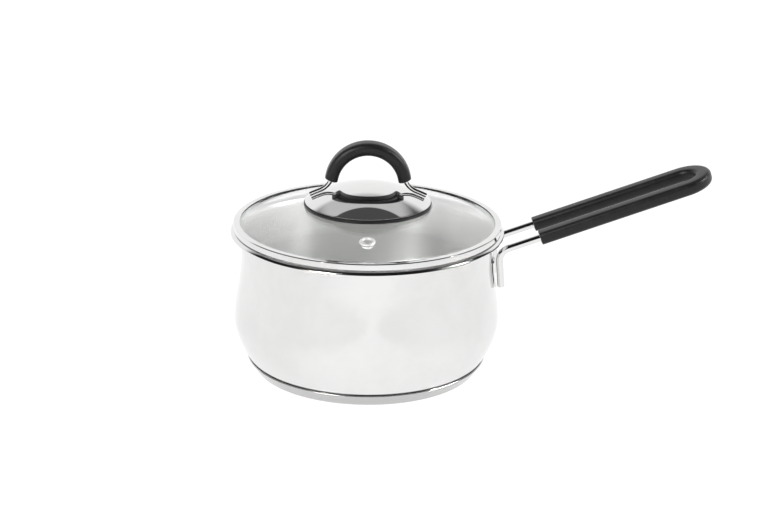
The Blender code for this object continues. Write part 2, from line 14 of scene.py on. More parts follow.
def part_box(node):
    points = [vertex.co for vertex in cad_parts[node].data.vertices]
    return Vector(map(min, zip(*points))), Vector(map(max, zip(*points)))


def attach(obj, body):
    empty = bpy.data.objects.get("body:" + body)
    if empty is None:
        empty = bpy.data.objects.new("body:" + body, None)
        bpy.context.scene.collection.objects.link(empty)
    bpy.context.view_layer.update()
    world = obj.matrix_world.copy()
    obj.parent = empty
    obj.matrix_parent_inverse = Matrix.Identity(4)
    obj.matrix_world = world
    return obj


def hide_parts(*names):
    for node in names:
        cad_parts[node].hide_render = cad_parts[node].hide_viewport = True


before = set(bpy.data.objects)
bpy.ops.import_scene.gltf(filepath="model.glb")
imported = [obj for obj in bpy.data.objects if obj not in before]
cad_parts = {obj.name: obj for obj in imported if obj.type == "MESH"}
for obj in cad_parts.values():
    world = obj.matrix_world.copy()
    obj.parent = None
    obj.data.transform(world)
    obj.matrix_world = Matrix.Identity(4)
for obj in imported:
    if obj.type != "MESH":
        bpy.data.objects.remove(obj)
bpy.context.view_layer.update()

bl_info = {
    "name": "Saucepan With Glass Lid",
    "version": (1, 0, 0),
    "blender": (4, 5, 0),
    "location": "View3D > Sidebar > Saucepan",
    "description": "Builds a saucepan with a wire handle and a domed glass lid around its frame",
    "category": "Add Mesh",
}

CRUMB = 1e-7                # vertices closer than this are one
FIT = 0.0003                # gap between pieces that lie face to face
GLASS_FIT = 0.00025         # gap between the glass and its band
SLEEVE_FIT = 0.00012        # gap between a wire and its sleeve
HEEL_FULLNESS = 1.7         # curve of the wall below the belly: 2 is a parabola
BRIGHT_ROWS = 23            # rows of faces inside the rim that are polished too
BAND_SHOULDER = 0.0006      # flat of the band's flanges next to its rounded edge
SEAL_SHOULDER = 0.0012      # thickness of the seal's flange
CROWN_RADIUS = 0.0075       # sphere of the screw's crown
HEAD_RIM = 0.0012           # height of the screw's rounded rim
RIM_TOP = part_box("pot_body")[1][2]
BAND_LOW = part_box("lid_band")[0][2]
BAND_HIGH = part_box("lid_band")[1][2]
PLATE_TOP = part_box("rosette")[1][2]
GASKET_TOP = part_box("rosette_gasket")[1][2]
BRACKET_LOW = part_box("handle_bracket")[0][2]
BRACKET_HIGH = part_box("handle_bracket")[1][2]
SEAL_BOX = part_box("screw_seal")
WASHER_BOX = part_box("screw_washer")
SCREW_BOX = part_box("knob_screw")

# The studio. A light is its spread, its lean from overhead and its swing about Z, in degrees.
BROAD_LIGHT = (110, 14, -8)
LEFT_LIGHT = (28, -56, -45)
RIGHT_LIGHT = (28, -56, 84)
FLOOR_REACH = 12.0
FLOOR_GAP = 0.0001
CAMERA_PLACE = (0.0, -1.150, 0.47198)
CAMERA_SWING = -math.radians(4.63)          # about the pan's axis
CAMERA_TURN = (0.0126, 0.3368, 0.0163)      # yaw, pitch and roll in radians
SPOT_PLACE = 0.233          # centre of the dark disc overhead, towards -Y, over its height
SPOT_REACH = (0.775, 0.80)  # where that disc fades out
HORIZON = (0.24, 0.20)      # height at which the white horizon fades out


# Sizes and colours that a user would change

def distance(name, default, description):
    """A length property in metres."""
    return FloatProperty(name=name, description=description, default=default, min=0.0,
                         precision=5, unit="LENGTH", subtype="DISTANCE")


def turn(name, degrees, description):
    """An angle property, with its default in degrees."""
    return FloatProperty(name=name, description=description, default=math.radians(degrees),
                         unit="ROTATION", subtype="ANGLE")


def share(name, default, description, top=1.0):
    """A plain number property."""
    return FloatProperty(name=name, description=description, default=default, min=0.0, max=top,
                         precision=3, subtype="FACTOR")


def colour(name, default, description):
    """A colour property."""
    return FloatVectorProperty(name=name, description=description, default=default, size=3,
                               min=0.0, max=1.0, subtype="COLOR")


class PanSizes(bpy.types.PropertyGroup):
    """Sizes of the pan's shell and base."""

    shell: distance("Shell", 0.0008, "Thickness of the drawn steel")
    belly_radius: distance("Belly radius", 0.0840, "Widest outside radius of the wall")
    belly_height: distance("Belly height", 0.0325, "Height of the widest ring")
    neck_radius: distance("Neck radius", 0.07945, "Outside radius of the neck")
    neck_height: distance("Neck height", 0.0740, "Height where the shoulder meets the neck")
    neck_length: distance("Neck length", 0.0115, "Straight neck between shoulder and rim")
    heel_drop: distance("Heel drop", 0.0090, "How far the wall draws in from belly to heel")
    heel_height: distance("Heel height", 0.0078, "Height where the wall turns into the bottom")
    heel_fillet: distance("Heel fillet", 0.0040, "Outside fillet between wall and bottom")
    rim_flare: distance("Rim flare", 0.0048, "Outside radius of the flare under the rim")
    flare_angle: turn("Flare angle", 78.0, "How far the flare turns outward")
    rim_curl: distance("Rim curl", 0.0018, "Underside radius of the curled edge")
    curl_angle: turn("Curl angle", 72.0, "How far the edge curls back down")
    cap_sheet: distance("Cap sheet", 0.0007, "Thickness of the steel cap around the base")
    foot_radius: distance("Foot radius", 0.0714, "Radius of the face that the pan stands on")
    foot_fillet: distance("Foot fillet", 0.0012, "Fillet around that face")
    seam_drop: distance("Seam drop", 0.0003, "Top of the cap below the heel")
    sides: IntProperty(name="Sides", description="Facets around the pan", default=192, min=24)


class HandleSizes(bpy.types.PropertyGroup):
    """Sizes of the long handle and its bracket."""

    wire_radius: distance("Wire radius", 0.0023, "Radius of the handle's wire")
    spacing: distance("Arm spacing", 0.0270, "Centre to centre between the two arms")
    rise: turn("Arm rise", 18.8, "Slope of the arms")
    bend: distance("Arm bend", 0.0080, "Centreline radius between leg and arm")
    elbow_height: distance("Elbow height", 0.0782, "Height where leg and arm lines cross")
    leg_foot: distance("Leg foot", 0.0548, "Height of the legs' lower ends")
    reach: distance("Reach", 0.2130, "Wire centre at the far end, from the pan's axis")
    sleeve_start: distance("Sleeve start", 0.1079, "Where the sleeve begins, from the pan's axis")
    sleeve_width: distance("Sleeve width", 0.0100, "Sleeve section across the slot")
    sleeve_height: distance("Sleeve height", 0.0082, "Sleeve section square to the handle")
    sleeve_corner: distance("Sleeve corner", 0.0030, "Corner radius of that section")
    sleeve_edge: distance("Sleeve edge", 0.0007, "Rounding around the sleeve's ends")
    plate_sheet: distance("Plate thickness", 0.0008, "Thickness of the bracket")
    plate_margin: distance("Plate margin", 0.0040, "Plate beyond the centre of each leg")
    plate_corner: distance("Plate corner", 0.0040, "Corner radius of the plate")


class LidSizes(bpy.types.PropertyGroup):
    """Sizes of the lid's glass, band and vent."""

    swing: turn("Lid turn", -4.6, "The loose lid's turn on the pan")
    band_radius: distance("Band radius", 0.0842, "Outside radius of the band")
    band_sheet: distance("Band sheet", 0.0003, "Thickness of the band")
    band_fillet: distance("Band fillet", 0.0008, "Outside fillet of the band's edges")
    top_ledge: distance("Top ledge", 0.0040, "Width of the flange over the glass")
    lower_ledge: distance("Lower ledge", 0.0032, "Width of the flange under the glass")
    glass_edge: distance("Glass edge", 0.0050, "Width of the glass's flat edge")
    dome_rise: distance("Dome rise", 0.0139, "From the flat edge to the top of the glass")
    vent_place: distance("Vent place", 0.0600, "The vent's distance from the lid's axis")
    vent_bore: distance("Vent bore", 0.0026, "Radius of the steam hole")
    vent_tube: distance("Vent tube", 0.0004, "Wall of the eyelet")
    vent_flange: distance("Vent flange", 0.0049, "Radius of the eyelet's flange")
    vent_bead: distance("Vent bead", 0.0012, "Height of that flange")
    vent_flare: distance("Vent flare", 0.0008, "How far the eyelet's lower end flares out")


class KnobSizes(bpy.types.PropertyGroup):
    """Sizes of the cover plate and of the arch on it."""

    plate_radius: distance("Plate radius", 0.0396, "Radius of the cover plate")
    plate_rise: distance("Plate rise", 0.0105, "From the plate's edge to its top")
    plate_sheet: distance("Plate sheet", 0.0007, "Thickness of the plate")
    gasket_overhang: distance("Gasket overhang", 0.0005, "Gasket beyond the plate's edge")
    gasket_width: distance("Gasket width", 0.0045, "Width of the gasket's ring")
    wire_radius: distance("Arch wire", 0.0015, "Radius of the arch's wire")
    arch_radius: distance("Arch radius", 0.0230, "Centreline radius of the arch")
    arch_lift: distance("Arch lift", 0.0006, "Centre of the arch above the plate")
    foot_flare: distance("Foot flare", 0.0124, "Radius that turns each leg outward")
    foot_reach: distance("Foot reach", 0.0365, "Wire end from the lid's axis")
    sleeve_tail: turn("Sleeve tail", 9.0, "How far the sleeve follows the outward turn")
    sleeve_depth: distance("Sleeve depth", 0.0130, "Sleeve section square to the arch")
    sleeve_thick: distance("Sleeve thickness", 0.0082, "Sleeve section in the arch's plane")
    sleeve_corner: distance("Sleeve corner", 0.0036, "Corner radius of that section")
    sleeve_edge: distance("Sleeve edge", 0.0009, "Rounding around the sleeve's ends")
    screw_radius: distance("Screw radius", 0.0020, "Radius of the clamping screw")
    head_radius: distance("Head radius", 0.0045, "Radius of the screw's head")
    collar_radius: distance("Collar radius", 0.0033, "Radius of the seal's collar")


class Finishes(bpy.types.PropertyGroup):
    """Colours and gloss of the surfaces."""

    steel: colour("Steel", (0.77, 0.77, 0.765), "Polished steel")
    steel_gloss: share("Steel roughness", 0.07, "Roughness of the polished steel")
    satin: colour("Satin steel", (0.80, 0.80, 0.79), "Brushed inside of the pan")
    satin_gloss: share("Satin roughness", 0.25, "Roughness of the brushed steel")
    aluminium: colour("Aluminium", (0.78, 0.79, 0.80), "The disc inside the base")
    silicone: colour("Silicone", (0.0065, 0.0065, 0.0068), "The sleeves and the gasket")
    silicone_gloss: share("Silicone roughness", 0.40, "Roughness of the silicone")
    glass: colour("Glass", (0.997, 0.998, 0.997), "Tint of the lid's glass")


class StudioLook(bpy.types.PropertyGroup):
    """Floor, light and camera."""

    floor: colour("Floor", (0.06, 0.06, 0.06), "What the plain floor returns of the light on it")
    floor_glow: share("Floor glow", 0.975, "Own light of the plain floor", 10.0)
    # Painted pool of light: the extra glow of the floor in a patch before the pan.
    floor_pool_glow: share("Floor before the pan", 0.09, "Extra light of the floor before it", 10.0)
    floor_light: share("Floor light", 2.2, "Strength of the broad light from above", 20.0)
    white: share("White walls", 1.05, "Brightness of the white surroundings", 10.0)
    left_light: share("Left light", 1.9, "Strength of the light before the pan, left", 20.0)
    right_light: share("Right light", 1.9, "Strength of the light before the pan, right", 20.0)
    dark: share("Dark ceiling", 0.012, "Brightness of the dark surroundings", 10.0)
    focal: FloatProperty(name="Focal length", description="Focal length of the camera in mm",
                         default=88.77, min=10.0)


# Outlines and meshes

def arc(centre, radius, start, end, steps):
    """Points on an arc in the (radius, height) plane, with angles in degrees."""
    turns = [math.radians(start + (end - start) * i / steps) for i in range(steps + 1)]
    return [(centre[0] + radius * math.cos(t), centre[1] + radius * math.sin(t)) for t in turns]


def offset_path(path, gap):
    """The path moved to its left by a distance; on the axis it moves straight up or down."""
    moved = []
    for i, (r, z) in enumerate(path):
        before = path[max(i - 1, 0)]
        after = path[min(i + 1, len(path) - 1)]
        run = Vector((after[0] - before[0], after[1] - before[1])).normalized()
        moved.append((max(r - run.y * gap, 0.0), z + run.x * gap))
    return moved


def between(start, end, steps):
    """Inner points of a straight stretch."""
    return [(start[0] + (end[0] - start[0]) * i / steps, start[1] + (end[1] - start[1]) * i / steps)
            for i in range(1, steps)]


def round_corners(outline, radius, steps=3):
    """A closed outline with a small fillet at each of its corners sharper than 40 degrees."""
    points = [Vector(p) for p in outline]
    rounded = []
    for i, corner in enumerate(points):
        back = points[i - 1] - corner
        ahead = points[(i + 1) % len(points)] - corner
        bend = math.pi - back.angle(ahead)
        if bend < math.radians(40) or corner.x < CRUMB:
            rounded.append(tuple(corner))
            continue
        reach = min(radius * math.tan(bend / 2), back.length * 0.45, ahead.length * 0.45)
        start = corner + back.normalized() * reach
        end = corner + ahead.normalized() * reach
        for k in range(steps + 1):
            t = k / steps
            rounded.append(tuple(start * (1 - t) ** 2 + corner * 2 * t * (1 - t) + end * t ** 2))
    return rounded


def add_piece(name, mesh, finishes, place=None, sharp=35):
    """Turn a bmesh into a smooth-shaded object with its finishes."""
    bmesh.ops.remove_doubles(mesh, verts=mesh.verts, dist=CRUMB)
    bmesh.ops.recalc_face_normals(mesh, faces=mesh.faces)
    if place is not None:
        mesh.transform(place)
    data = bpy.data.meshes.new(name)
    mesh.to_mesh(data)
    mesh.free()
    data.shade_smooth()
    data.set_sharp_from_angle(angle=math.radians(sharp))
    for finish in finishes:
        data.materials.append(finish)
    piece = bpy.data.objects.new(name, data)
    bpy.context.scene.collection.objects.link(piece)
    return piece


def turned(name, outline, finishes, sides, place=None, second=None):
    """Spin an outline of (radius, height) points about Z.

    An outline that starts and ends on the axis stays open there. Faces whose middle passes the
    second test take the second finish.
    """
    mesh = bmesh.new()
    rings = []
    for r, z in outline:
        if r < CRUMB:
            rings.append([mesh.verts.new((0.0, 0.0, z))])
        else:
            rings.append([mesh.verts.new((r * math.cos(math.tau * k / sides),
                                          r * math.sin(math.tau * k / sides), z))
                          for k in range(sides)])
    stretches = list(zip(rings, rings[1:]))
    spans = list(zip(outline, outline[1:]))
    if outline[0][0] > CRUMB or outline[-1][0] > CRUMB:
        stretches.append((rings[-1], rings[0]))
        spans.append((outline[-1], outline[0]))
    for number, (low, high) in enumerate(stretches):
        chosen = 1 if second is not None and second(number, spans[number]) else 0
        for k in range(sides):
            m = (k + 1) % sides
            loop = [low[k % len(low)], low[m % len(low)], high[m % len(high)], high[k % len(high)]]
            loop = list(dict.fromkeys(loop))
            if len(loop) > 2:
                mesh.faces.new(loop).material_index = chosen
    return add_piece(name, mesh, finishes, place)


def fillet(before, corner, after, radius, steps):
    """Points of the arc that rounds one corner of a 3-D path."""
    back = (before - corner).normalized()
    ahead = (after - corner).normalized()
    half = back.angle(ahead) / 2
    reach = radius / math.tan(half)
    centre = corner + (back + ahead).normalized() * (radius / math.sin(half))
    start = corner + back * reach - centre
    axis = start.cross(corner + ahead * reach - centre).normalized()
    sweep = math.pi - 2 * half
    return [centre + Matrix.Rotation(sweep * i / steps, 3, axis) @ start for i in range(steps + 1)]


def rounded_path(corners, radii, steps):
    """A path through corner points, each inner corner rounded by its own radius."""
    path = [corners[0]]
    for i, (radius, count) in enumerate(zip(radii, steps), start=1):
        path += fillet(corners[i - 1], corners[i], corners[i + 1], radius, count)
    path.append(corners[-1])
    kept = [path[0]]
    for point in path[1:]:
        if (point - kept[-1]).length > 10 * CRUMB:
            kept.append(point)
    return kept


def directions(path):
    """The direction of travel at each point of a path."""
    ends = [(path[max(i - 1, 0)], path[min(i + 1, len(path) - 1)]) for i in range(len(path))]
    return [(after - before).normalized() for before, after in ends]


def skin(mesh, ring, other):
    """Quads between two rings of vertices."""
    for i in range(len(ring)):
        j = (i + 1) % len(ring)
        mesh.faces.new((ring[i], ring[j], other[j], other[i]))


def frames_along(path, first_side):
    """(point, side, top) at each point, each turned as little as possible from the last."""
    ahead = directions(path)
    side = first_side
    frames = []
    for i, point in enumerate(path):
        if i:
            side = ahead[i - 1].rotation_difference(ahead[i]) @ side
        side = (side - ahead[i] * side.dot(ahead[i])).normalized()
        frames.append((point, side, side.cross(ahead[i])))
    return frames


def wire(name, path, radius, first_side, finish, sides=24, place=None):
    """A round wire along a path, with a small rounding at each cut end."""
    ahead = directions(path)
    edge = radius * 0.22
    spine = [path[0], path[0] + ahead[0] * edge * 0.3, path[0] + ahead[0] * edge] + path[1:-1]
    spine += [path[-1] - ahead[-1] * edge, path[-1] - ahead[-1] * edge * 0.3, path[-1]]
    sizes = [radius - edge, radius - edge * 0.3] + [radius] * (len(spine) - 4)
    sizes += [radius - edge * 0.3, radius - edge]
    mesh = bmesh.new()
    rings = []
    for (point, side, top), size in zip(frames_along(spine, first_side), sizes):
        rings.append([mesh.verts.new(point + (side * math.cos(math.tau * k / sides)
                                              + top * math.sin(math.tau * k / sides)) * size)
                      for k in range(sides)])
    for ring, other in zip(rings, rings[1:]):
        skin(mesh, ring, other)
    mesh.faces.new(rings[0])
    mesh.faces.new(rings[-1])
    return add_piece(name, mesh, [finish], place)


def section_points(width, height, corner, inset, steps):
    """A rounded rectangle, made smaller all round by an inset."""
    rounding = max(corner - inset, corner * 0.4)
    across = width / 2 - inset - rounding
    up = height / 2 - inset - rounding
    points = []
    for sign_a, sign_b, start in ((1, 1, 0), (-1, 1, 90), (-1, -1, 180), (1, -1, 270)):
        points += arc((sign_a * across, sign_b * up), rounding, start, start + 90, steps)
    return points


def sleeve(name, path, up, size, edge, bore, finish, place=None):
    """A soft sleeve around a wire: rounded section and rounded ends outside, a bore inside."""
    width, height, corner = size
    corner_steps = 8
    edge_steps = 5
    ahead = directions(path)
    turns = [math.pi / 2 * k / edge_steps for k in range(edge_steps + 1)]
    head = [(path[0] + ahead[0] * (edge - edge * math.cos(t)), edge * (1 - math.sin(t)))
            for t in turns]
    tail = [(path[-1] - ahead[-1] * (edge - edge * math.cos(t)), edge * (1 - math.sin(t)))
            for t in turns[::-1]]
    body = [(point, 0.0) for point in path[1:-1]]
    spine = head + body + tail
    mesh = bmesh.new()
    outer, inner = [], []
    travel = [ahead[0]] * len(head) + ahead[1:-1] + [ahead[-1]] * len(tail)
    for (point, inset), run in zip(spine, travel):
        side = run.cross(up).normalized()
        top = side.cross(run)
        section = section_points(width, height, corner, inset, corner_steps)
        outer.append([mesh.verts.new(point + side * a + top * b) for a, b in section])
        hole = [math.atan2(b, a) for a, b in section]
        inner.append([mesh.verts.new(point + (side * math.cos(t) + top * math.sin(t)) * bore)
                      for t in hole])
    for rings in (outer, inner):
        for ring, other in zip(rings, rings[1:]):
            skin(mesh, ring, other)
    skin(mesh, outer[0], inner[0])
    skin(mesh, outer[-1], inner[-1])
    return add_piece(name, mesh, [finish], place)


def carve(piece, cutter):
    """Cut one mesh out of another for good, and remove the cutter."""
    boolean = piece.modifiers.new("Carve", "BOOLEAN")
    boolean.operation = "DIFFERENCE"
    boolean.solver = "EXACT"
    boolean.object = cutter
    seen = piece.evaluated_get(bpy.context.evaluated_depsgraph_get())
    finished = bpy.data.meshes.new_from_object(seen)
    finished.name = piece.name
    piece.modifiers.clear()
    piece.data = finished
    bpy.data.objects.remove(cutter, do_unlink=True)


# Shader maths

class Grade:
    """One socket's value, to be used in Python expressions."""

    def __init__(self, recipe, socket):
        self.recipe = recipe
        self.socket = socket

    def __add__(self, other):
        return self.recipe.maths("ADD", self, other)

    def __radd__(self, other):
        return self.recipe.maths("ADD", other, self)

    def __sub__(self, other):
        return self.recipe.maths("SUBTRACT", self, other)

    def __rsub__(self, other):
        return self.recipe.maths("SUBTRACT", other, self)

    def __mul__(self, other):
        return self.recipe.maths("MULTIPLY", self, other)

    def __rmul__(self, other):
        return self.recipe.maths("MULTIPLY", other, self)

    def __truediv__(self, other):
        return self.recipe.maths("DIVIDE", self, other)

    def __rtruediv__(self, other):
        return self.recipe.maths("DIVIDE", other, self)

    def __pow__(self, other):
        return self.recipe.maths("POWER", self, other)


class Recipe:
    """The node tree of one finish or of the sky."""

    def __init__(self, owner):
        owner.use_nodes = True
        self.tree = owner.node_tree
        self.tree.nodes.clear()

    def feed(self, socket, value):
        if isinstance(value, Grade):
            self.tree.links.new(value.socket, socket)
        else:
            socket.default_value = value

    def node(self, kind, out=0, settings=None, sockets=None):
        """Any node: its settings first, then the values or links of its sockets."""
        made = self.tree.nodes.new(kind)
        for key, value in (settings or {}).items():
            setattr(made, key, value)
        for key, value in (sockets or {}).items():
            self.feed(made.inputs[key], value)
        return None if out is None else Grade(self, made.outputs[out])

    def maths(self, operation, *values):
        return self.node("ShaderNodeMath", settings={"operation": operation},
                         sockets=dict(enumerate(values)))

    def slide(self, value, start, end):
        """0 at the start and 1 at the end, with a soft join."""
        return self.node("ShaderNodeMapRange", settings={"interpolation_type": "SMOOTHSTEP"},
                         sockets={"Value": value, "From Min": start, "From Max": end})

    def blend(self, factor, first, second):
        """One colour turning into another."""
        return self.node("ShaderNodeMix", 2, {"data_type": "RGBA"},
                         {0: factor, 6: first, 7: second})

    def noise(self, vector, scale, detail=2.0, roughness=0.5):
        return self.node("ShaderNodeTexNoise", "Fac", sockets={
            "Vector": vector, "Scale": scale, "Detail": detail, "Roughness": roughness})

    def bump(self, height, depth, normal=None):
        sockets = {"Height": height, "Distance": depth}
        if normal is not None:
            sockets["Normal"] = normal
        return self.node("ShaderNodeBump", sockets=sockets)

    def spot(self):
        """The place on the piece, in metres, and its three parts."""
        place = self.node("ShaderNodeTexCoord", "Object")
        return place, *self.parts(place)

    def parts(self, vector):
        split = self.tree.nodes.new("ShaderNodeSeparateXYZ")
        self.feed(split.inputs[0], vector)
        return [Grade(self, output) for output in split.outputs]

    def vector(self, x, y, z):
        return self.node("ShaderNodeCombineXYZ", sockets={0: x, 1: y, 2: z})

    def surface(self, **sockets):
        """The Principled surface and the output."""
        named = {key.replace("_", " "): value for key, value in sockets.items()}
        shader = self.node("ShaderNodeBsdfPrincipled", sockets=named)
        self.node("ShaderNodeOutputMaterial", None, sockets={"Surface": shader})


def opaque(shade):
    """A colour with its alpha."""
    return (*shade, 1.0)


def finish(name):
    """A new material and its recipe."""
    material = bpy.data.materials.new(name)
    return material, Recipe(material)


def turning_lines(recipe, place_parts, pitch):
    """Noise that changes quickly with distance from the axis and height, and hardly around it."""
    x, y, z = place_parts
    radius = (x * x + y * y) ** 0.5
    around = recipe.maths("ARCTAN2", y, x)
    return recipe.noise(recipe.vector(radius / pitch, z / pitch, around * 1.3), 1.0, 3.0, 0.6)


def polished_steel(name, look, roughness, wobble):
    """Mirror-polished steel with faint wiping marks and the slight waviness of drawn sheet."""
    material, recipe = finish(name)
    place, *parts = recipe.spot()
    wiped = recipe.noise(place, 28.0, 4.0, 0.62)
    lines = turning_lines(recipe, parts, 0.0009)
    waves = recipe.noise(place, 42.0, 1.0)
    normal = recipe.bump(lines, 0.0000012, recipe.bump(waves, wobble))
    deep = tuple(part * 0.955 for part in look.steel)
    recipe.surface(
        Base_Color=recipe.blend(recipe.slide(wiped, 0.35, 0.70), opaque(look.steel), opaque(deep)),
        Metallic=1.0,
        Roughness=roughness + recipe.slide(wiped, 0.42, 0.78) * (roughness * 0.55),
        Normal=normal)
    return material


def brushed_steel(name, roughness, tint, streak, combed=0.85):
    """Satin steel with turning lines around the axis."""
    material, recipe = finish(name)
    place, *parts = recipe.spot()
    fine = turning_lines(recipe, parts, 0.00035)
    broad = turning_lines(recipe, parts, 0.0024)
    cloud = recipe.noise(place, 30.0, 3.0, 0.6)
    normal = recipe.bump(fine, 0.0000016, recipe.bump(broad, 0.0000020))
    deep = tuple(part * (1 - streak) for part in tint)
    shade = recipe.slide(fine * 0.6 + broad * 0.4, 0.36, 0.64)
    recipe.surface(
        Base_Color=recipe.blend(shade, opaque(deep), opaque(tint)),
        Metallic=0.80,
        Roughness=roughness + (cloud - 0.5) * 0.05 + (fine - 0.5) * 0.05,
        Anisotropic=combed,
        Anisotropic_Rotation=0.25,
        Normal=normal)
    return material


def soft_silicone(name, look, grain):
    """Matt black silicone: a fine moulded grain, slight mottling and a little dust."""
    material, recipe = finish(name)
    place = recipe.spot()[0]
    pores = recipe.noise(place, 2600.0, 3.0, 0.62)
    mottle = recipe.noise(place, 160.0, 3.0, 0.55)
    swell = recipe.noise(place, 70.0, 1.0)
    dust = recipe.slide(recipe.noise(place, 520.0, 5.0, 0.7), 0.57, 0.80)
    dark = tuple(part * 0.80 for part in look.silicone)
    light = tuple(part * 1.25 for part in look.silicone)
    base = recipe.blend(recipe.slide(mottle, 0.30, 0.70), opaque(dark), opaque(light))
    recipe.surface(
        Base_Color=recipe.blend(dust * 0.35, base, (0.060, 0.060, 0.060, 1.0)),
        Roughness=look.silicone_gloss + (mottle - 0.5) * 0.12 + (pores - 0.5) * 0.10,
        Specular_IOR_Level=0.32,
        Sheen_Weight=0.04,
        Sheen_Roughness=0.5,
        Normal=recipe.bump(pores, grain, recipe.bump(swell, 0.00012)))
    return material


def clear_glass(name, look):
    """Clear tempered glass, slightly green, with faint wiping marks."""
    material, recipe = finish(name)
    place, x, y, _ = recipe.spot()
    radius = (x * x + y * y) ** 0.5
    edge = recipe.slide(radius, 0.068, 0.0835)
    marks = recipe.noise(place, 34.0, 5.0, 0.65)
    green = tuple(part * scale for part, scale in zip(look.glass, (0.965, 0.992, 0.98)))
    pane = recipe.node("ShaderNodeBsdfPrincipled", sockets={
        "Base Color": recipe.blend(edge, opaque(look.glass), opaque(green)),
        "Roughness": recipe.slide(marks, 0.52, 0.85) * 0.008,
        "IOR": 1.50,
        "Transmission Weight": 1.0,
        "Normal": recipe.bump(recipe.noise(place, 16.0, 1.0), 0.000005)})
    through = recipe.node("ShaderNodeBsdfTransparent", sockets={"Color": (0.92, 0.92, 0.92, 1.0)})
    lamplight = recipe.node("ShaderNodeLightPath", "Is Shadow Ray")
    mixed = recipe.node("ShaderNodeMixShader", sockets={0: lamplight, 1: pane, 2: through})
    recipe.node("ShaderNodeOutputMaterial", None, sockets={"Surface": mixed})
    return material


def floor_paint(name, look):
    """Plain pale paint that glows evenly from within, with a painted pool of light before the pan.
    """
    material, recipe = finish(name)
    _, x, y, _ = recipe.spot()
    # Painted pool of light: the floor's glow is raised in a patch before the pan, fading out about
    # 0.24 m to each side.
    before = recipe.slide(y, 0.02, -0.14) * recipe.slide(recipe.maths("ABSOLUTE", x), 0.24, 0.03)
    glow = look.floor_glow + before * look.floor_pool_glow
    recipe.surface(Base_Color=opaque(look.floor), Roughness=0.9, Specular_IOR_Level=0.0,
                   Emission_Color=recipe.vector(glow, glow, glow), Emission_Strength=1.0)
    return material


def shared(name, maker, *values):
    """A finish by name, made on first use."""
    return bpy.data.materials.get(name) or maker(name, *values)


def mirror_finish(look):
    return shared("mirror_steel", polished_steel, look, look.steel_gloss, 0.000030)


def crisp_finish(look):
    return shared("bright_steel", polished_steel, look, look.steel_gloss * 0.55, 0.000012)


def satin_finish(look):
    return shared("inner_satin_steel", brushed_steel, look.satin_gloss, tuple(look.satin), 0.06)


def cap_finish():
    # Painted shade: the cap's steel is tinted much darker than the pan's other steel, standing in
    # for the floor's shade that the cap mirrors.
    return shared("cap_steel", brushed_steel, 0.16, (0.52, 0.52, 0.515), 0.05)


def underside_finish():
    return shared("underside_satin_steel", brushed_steel, 0.30, (0.66, 0.66, 0.655), 0.14)


def eyelet_finish():
    # Painted highlight: the eyelet's steel is tinted near white, lighter than the pan's other
    # steel, standing in for a bright reflection on its rolled ring.
    return shared("eyelet_steel", brushed_steel, 0.42, (0.95, 0.95, 0.94), 0.03, 0.0)


def silicone_finish(look):
    return shared("sleeve_silicone", soft_silicone, look, 0.000030)


def gasket_finish(look):
    return shared("gasket_silicone", soft_silicone, look, 0.000014)


# The pan

def wall_radius(pan, height):
    """Outside radius of the pan's wall between heel and neck."""
    if height < pan.belly_height:
        part = (pan.belly_height - height) / (pan.belly_height - pan.heel_height)
        return pan.belly_radius - pan.heel_drop * part ** HEEL_FULLNESS
    part = min((height - pan.belly_height) / (pan.neck_height - pan.belly_height), 1.0)
    bulge = pan.belly_radius - pan.neck_radius
    return pan.neck_radius + bulge * (1 + math.cos(math.pi * part)) / 2


def heel_slope(pan):
    """Angle of the wall to the ground at the heel, in degrees."""
    lean = pan.heel_drop * HEEL_FULLNESS / (pan.belly_height - pan.heel_height)
    return math.degrees(math.atan2(1.0, lean))


def shell_outline(pan):
    """Outside of the shell from the axis to the curled edge, and the number of its points."""
    slope = heel_slope(pan)
    bottom = pan.heel_height - pan.heel_fillet * (1 - math.cos(math.radians(slope)))
    heel = (wall_radius(pan, pan.heel_height) - pan.heel_fillet * math.sin(math.radians(slope)),
            bottom + pan.heel_fillet)
    path = [(0.0, bottom)] + between((0.0, bottom), (heel[0], bottom), 14)
    path += arc(heel, pan.heel_fillet, -90, slope - 90, 10)
    for low, high, rows in ((pan.heel_height, pan.belly_height, 22),
                            (pan.belly_height, pan.neck_height, 34)):
        for i in range(1, rows + 1):
            height = low + (high - low) * i / rows
            path.append((wall_radius(pan, height), height))
    flare = math.degrees(pan.flare_angle)
    start = (pan.neck_radius, pan.neck_height + pan.neck_length)
    path += between(path[-1], start, 4)
    path += arc((pan.neck_radius + pan.rim_flare, start[1]), pan.rim_flare, 180, 180 - flare, 14)
    rest = math.radians(90 - flare)
    crest = path[-1][0] + pan.rim_curl * math.sin(rest)
    curl = (crest, RIM_TOP - pan.shell - pan.rim_curl)
    path += arc(curl, pan.rim_curl, 180 - flare, 90 - math.degrees(pan.curl_angle), 16)[1:]
    inside = offset_path(path, pan.shell)
    lip = inside[-1]
    edge_run = Vector(lip) - Vector(path[-1])
    middle = Vector(path[-1]) + edge_run / 2
    bulge = Vector((edge_run.y, -edge_run.x)).normalized() * (pan.shell * 0.4)
    return path + [tuple(middle + bulge)] + inside[::-1], len(path)


def build_shell(pan, look):
    """The drawn shell: bright outside and over the rim, brushed inside."""
    outline, count = shell_outline(pan)
    return turned("pan_shell", outline, [mirror_finish(look), satin_finish(look)], pan.sides,
                  second=lambda number, span: number > count + BRIGHT_ROWS)


